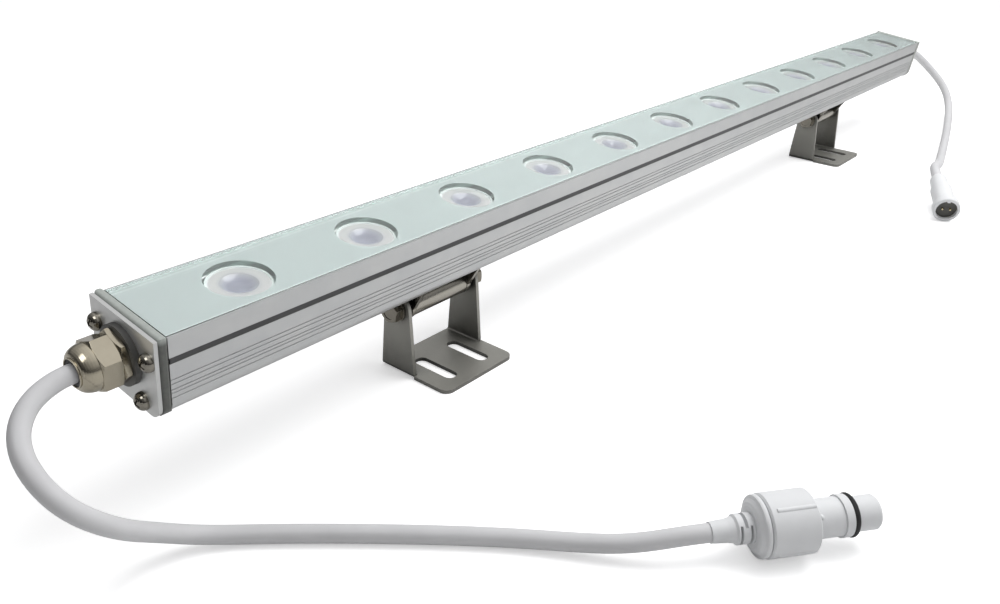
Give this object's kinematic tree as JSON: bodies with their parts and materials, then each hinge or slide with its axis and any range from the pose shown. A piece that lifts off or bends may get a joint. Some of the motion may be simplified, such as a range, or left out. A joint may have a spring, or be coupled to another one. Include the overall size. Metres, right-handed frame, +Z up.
{
  "type": "outdoor wall washer light",
  "caption": "Slim aluminium bar light with a row of round lenses under glass, on two tilting slotted brackets, with a sealed lead at each end.",
  "frame": {"origin": "on the surface that the brackets stand on, below the middle of the box of bar and brackets", "axes": "+X along the bar towards the end whose lead has the socket, -Y to the front, towards which the bar leans, +Z up"},
  "size_m": [1.2154, 0.31, 0.1118],
  "materials": {
    "aluminium": "satin anodised",
    "end_plate_metal": "matt blasted",
    "clear_glass": "polished",
    "printed_layer": "pale green white print seen through glass",
    "silicone": "milky satin",
    "black_rubber": "matt",
    "gland_washer_rubber": "matt",
    "stainless_steel": "fine brushed",
    "zinc_steel": "bright plated",
    "nickel_brass": "satin nickel plate",
    "lens_plastic": "clear and milky, glossy",
    "holder_plastic": "satin",
    "board": "white solder mask",
    "led_body": "ceramic with a clear dome",
    "cable_jacket": "satin",
    "plug_plastic": "moulded satin",
    "insert_plastic": "matt",
    "contact_brass": "bright"
  },
  "bodies": {
    "bar": {"housing": "aluminium", "near_end_plate": "end_plate_metal", "far_end_plate": "end_plate_metal", "glass_cover": "clear_glass", "window_mask": "printed_layer", "cover_seal": "silicone", "near_gasket": "silicone", "far_gasket": "silicone", "front_strip": "black_rubber", "rear_strip": "black_rubber", "near_gland_seal": "black_rubber", "far_gland_seal": "black_rubber", "plug_oring": "black_rubber", "near_gland_washer": "gland_washer_rubber", "far_gland_washer": "gland_washer_rubber", "near_end_screws": "zinc_steel", "far_end_screws": "zinc_steel", "board_screws": "zinc_steel", "near_gland_body": "nickel_brass", "far_gland_body": "nickel_brass", "near_gland_nut": "nickel_brass", "far_gland_nut": "nickel_brass", "near_gland_locknut": "nickel_brass", "far_gland_locknut": "nickel_brass", "lenses": "lens_plastic", "lens_holders": "holder_plastic", "led_board": "board", "led_chips": "led_body", "near_cable": "cable_jacket", "far_cable": "cable_jacket", "plug_relief": "plug_plastic", "plug_cap": "plug_plastic", "plug_body": "plug_plastic", "socket_body": "plug_plastic", "socket_insert": "insert_plastic", "plug_contacts": "contact_brass", "socket_pins": "contact_brass"},
    "near_lug_body": {"near_lug": "aluminium", "near_lug_screws": "zinc_steel"},
    "far_lug_body": {"far_lug": "aluminium", "far_lug_screws": "zinc_steel"},
    "near_bracket_body": {"near_bracket": "stainless_steel", "near_pivot_bolt": "zinc_steel", "near_pivot_nut": "zinc_steel", "near_pivot_washers": "zinc_steel", "near_spacers": "black_rubber"},
    "far_bracket_body": {"far_bracket": "stainless_steel", "far_pivot_bolt": "zinc_steel", "far_pivot_nut": "zinc_steel", "far_pivot_washers": "zinc_steel", "far_spacers": "black_rubber"},
    "coupling_nut": {"plug_nut": "plug_plastic"}
  },
  "joints": [
    {"name": "near_lug_slide", "type": "slide", "parent": "bar", "child": "near_lug_body", "axis": [1, 0, 0], "range_m": [-0.15, 0.25]},
    {"name": "near_bracket_tilt", "type": "hinge", "parent": "near_lug_body", "child": "near_bracket_body", "pos_m": [-0.314, 0.00986, 0.0448], "axis": [1, 0, 0], "range_deg": [-83, 97]},
    {"name": "far_lug_slide", "type": "slide", "parent": "bar", "child": "far_lug_body", "axis": [1, 0, 0], "range_m": [-0.25, 0.15]},
    {"name": "far_bracket_tilt", "type": "hinge", "parent": "far_lug_body", "child": "far_bracket_body", "pos_m": [0.314, 0.00986, 0.0448], "axis": [1, 0, 0], "range_deg": [-83, 97]},
    {"name": "coupling_nut_spin", "type": "hinge", "parent": "bar", "child": "coupling_nut", "pos_m": [-0.33831, -0.24171, 0.01602], "axis": [0.7656, -0.6424, 0.0349], "continuous": true}
  ]
}
